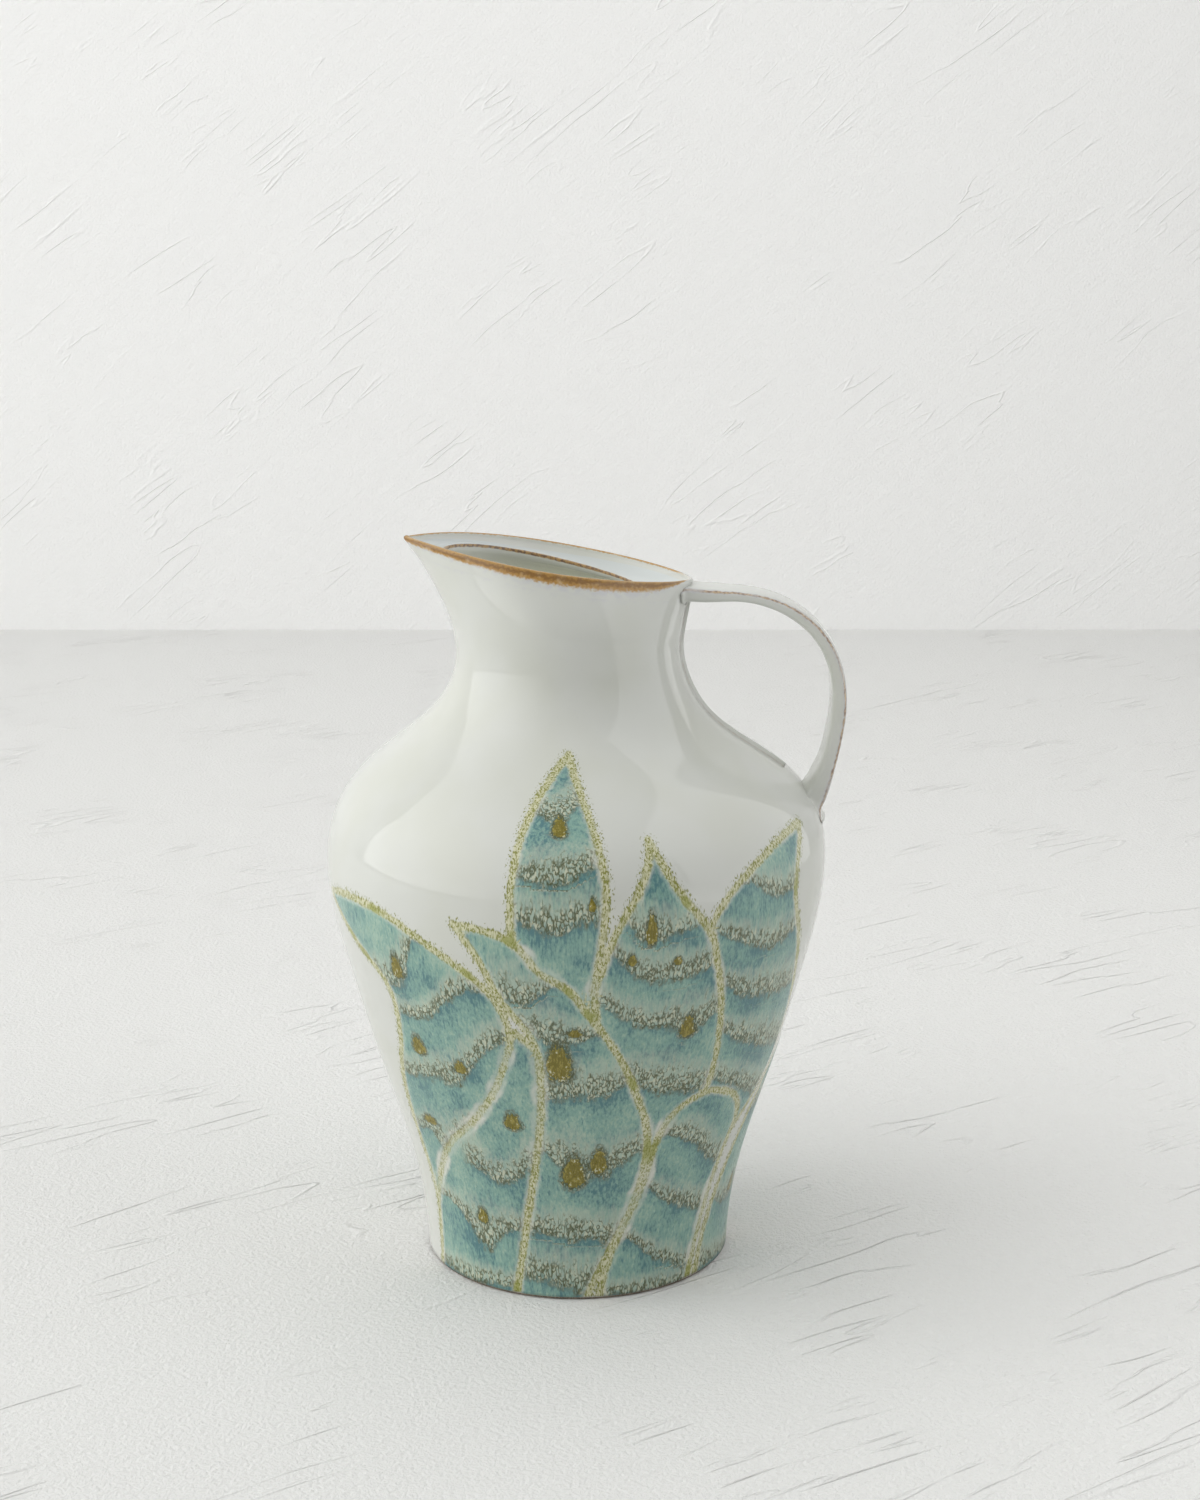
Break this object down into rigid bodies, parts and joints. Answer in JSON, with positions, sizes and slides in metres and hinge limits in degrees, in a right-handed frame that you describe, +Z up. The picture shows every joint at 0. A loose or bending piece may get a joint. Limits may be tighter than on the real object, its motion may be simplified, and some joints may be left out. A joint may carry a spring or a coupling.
{
  "type": "ceramic pitcher",
  "caption": "Glazed stoneware pitcher with a broad belly, pinched spout, strap handle and a raised reactive glaze decoration of upright leaves.",
  "frame": {"origin": "middle of the overall outline at the level of the resting face; the belly's axis lies 3.95 mm towards the spout", "axes": "+Z up along the belly's axis; +X towards the handle, -X towards the spout; +Y completes the right-handed frame"},
  "size_m": [0.2347, 0.227, 0.335],
  "materials": {
    "body_glaze": "glossy off-white glaze with a cool green-grey tone",
    "bare_clay": "unglazed brown stoneware",
    "handle_glaze": "glossy off-white glaze that breaks brown on the edges",
    "joint_glaze": "off-white glaze pooled over the joining slip",
    "iron_rim_glaze": "glossy iron-brown glaze",
    "leaf_glaze": "satin teal reactive glaze with olive speckled outlines and bands"
  },
  "bodies": {
    "root": {"body": "body_glaze", "foot_ring": "bare_clay", "handle": "handle_glaze", "handle_web": "handle_glaze", "upper_luting": "joint_glaze", "lower_luting": "joint_glaze", "rim_glaze": "iron_rim_glaze"}
  },
  "joints": []
}
